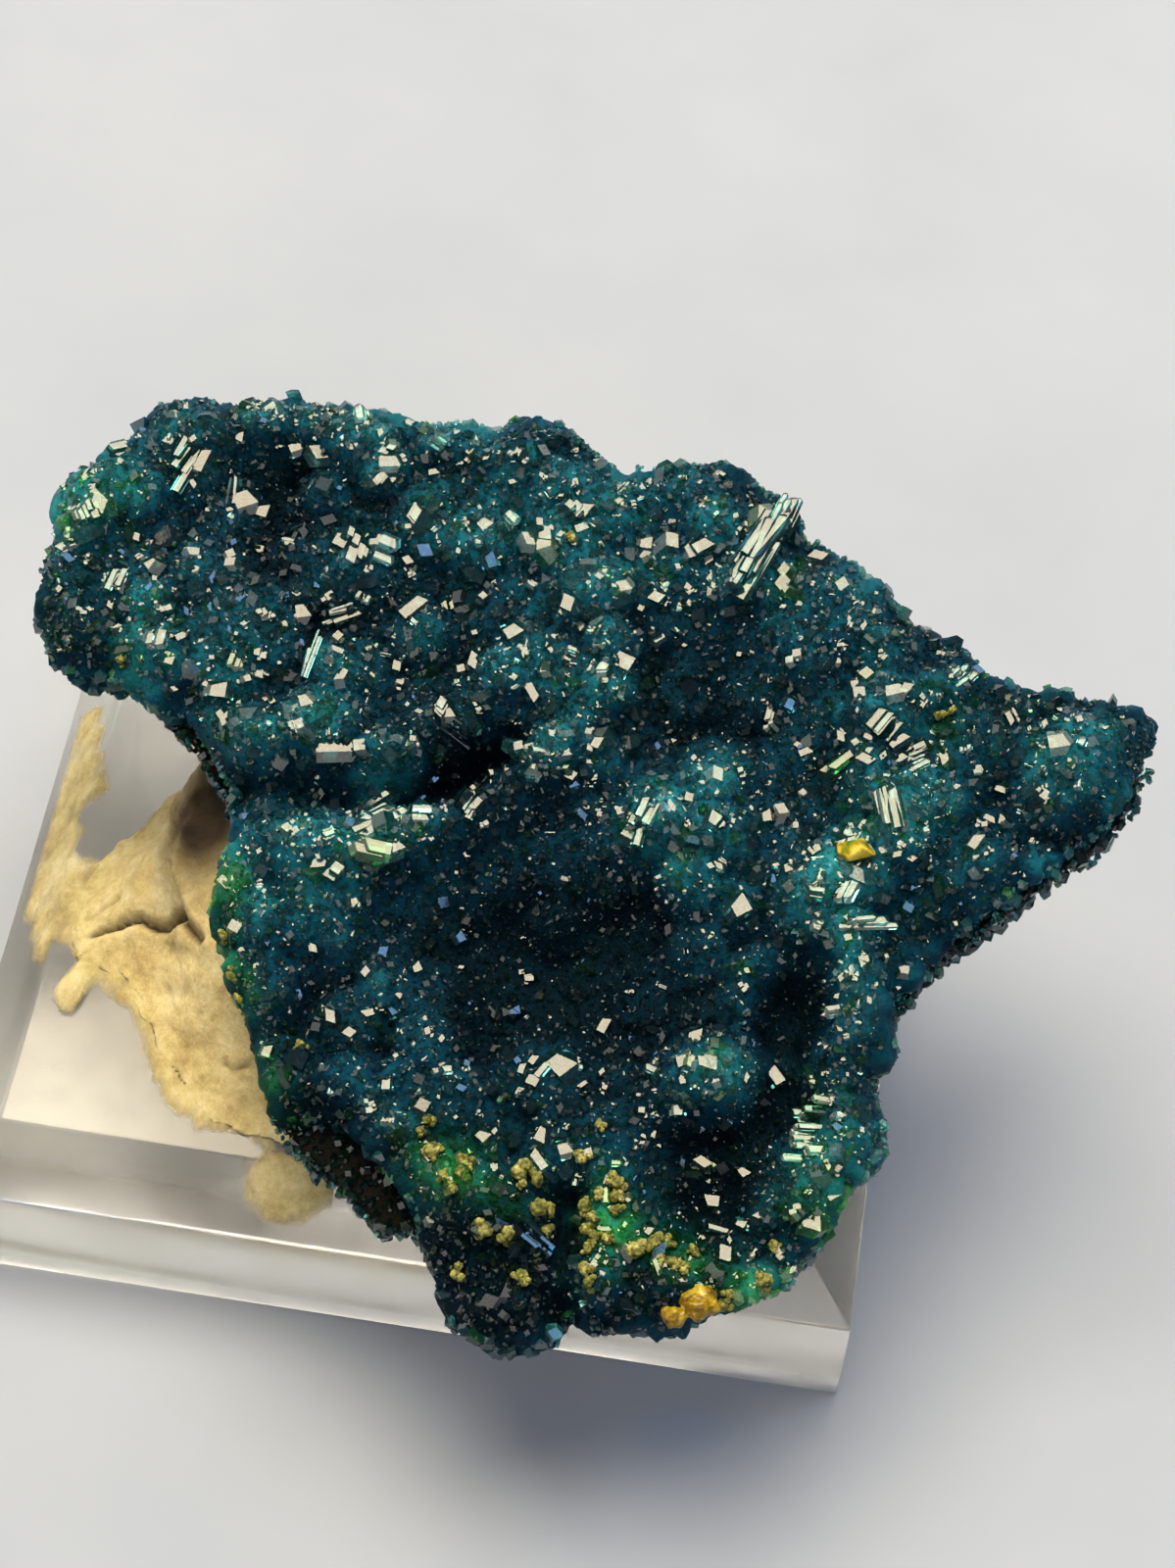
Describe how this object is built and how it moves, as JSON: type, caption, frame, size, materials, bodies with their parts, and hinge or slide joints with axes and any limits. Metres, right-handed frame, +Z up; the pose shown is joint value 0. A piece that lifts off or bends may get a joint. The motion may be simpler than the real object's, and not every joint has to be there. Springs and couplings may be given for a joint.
{
  "type": "dioptase specimen",
  "caption": "Irregular plate of dark rock crusted with small teal dioptase crystals, pressed into putty on a clear square block with a bevelled top.",
  "frame": {"origin": "centre of the clear block's underside, which rests on the table", "axes": "+Z up, +X along the block's front edge to the right, +Y from the front of the block to its back; the plate of crystals leans towards the front"},
  "size_m": [0.0394, 0.0376, 0.0233],
  "materials": {
    "clear_block": "polished clear acrylic with light scuffs and a thin film of putty on top",
    "putty": "dull kneaded mounting putty, creased",
    "dark_rock": "rough, dull, nearly black brown",
    "dioptase": "glassy, translucent crystal faces, deep blue green",
    "yellow_mineral": "dull, finely rough round grains",
    "orange_mineral": "dull, slightly waxy lumps"
  },
  "bodies": {
    "root": {"base_block": "clear_block", "mounting_putty": "putty", "matrix_rock": "dark_rock", "dioptase_crust": "dioptase", "yellow_balls_left": "yellow_mineral", "yellow_balls_middle": "yellow_mineral", "yellow_balls_centre": "yellow_mineral", "yellow_balls_right": "yellow_mineral", "orange_nodule": "orange_mineral", "yellow_grain": "yellow_mineral"}
  },
  "joints": []
}
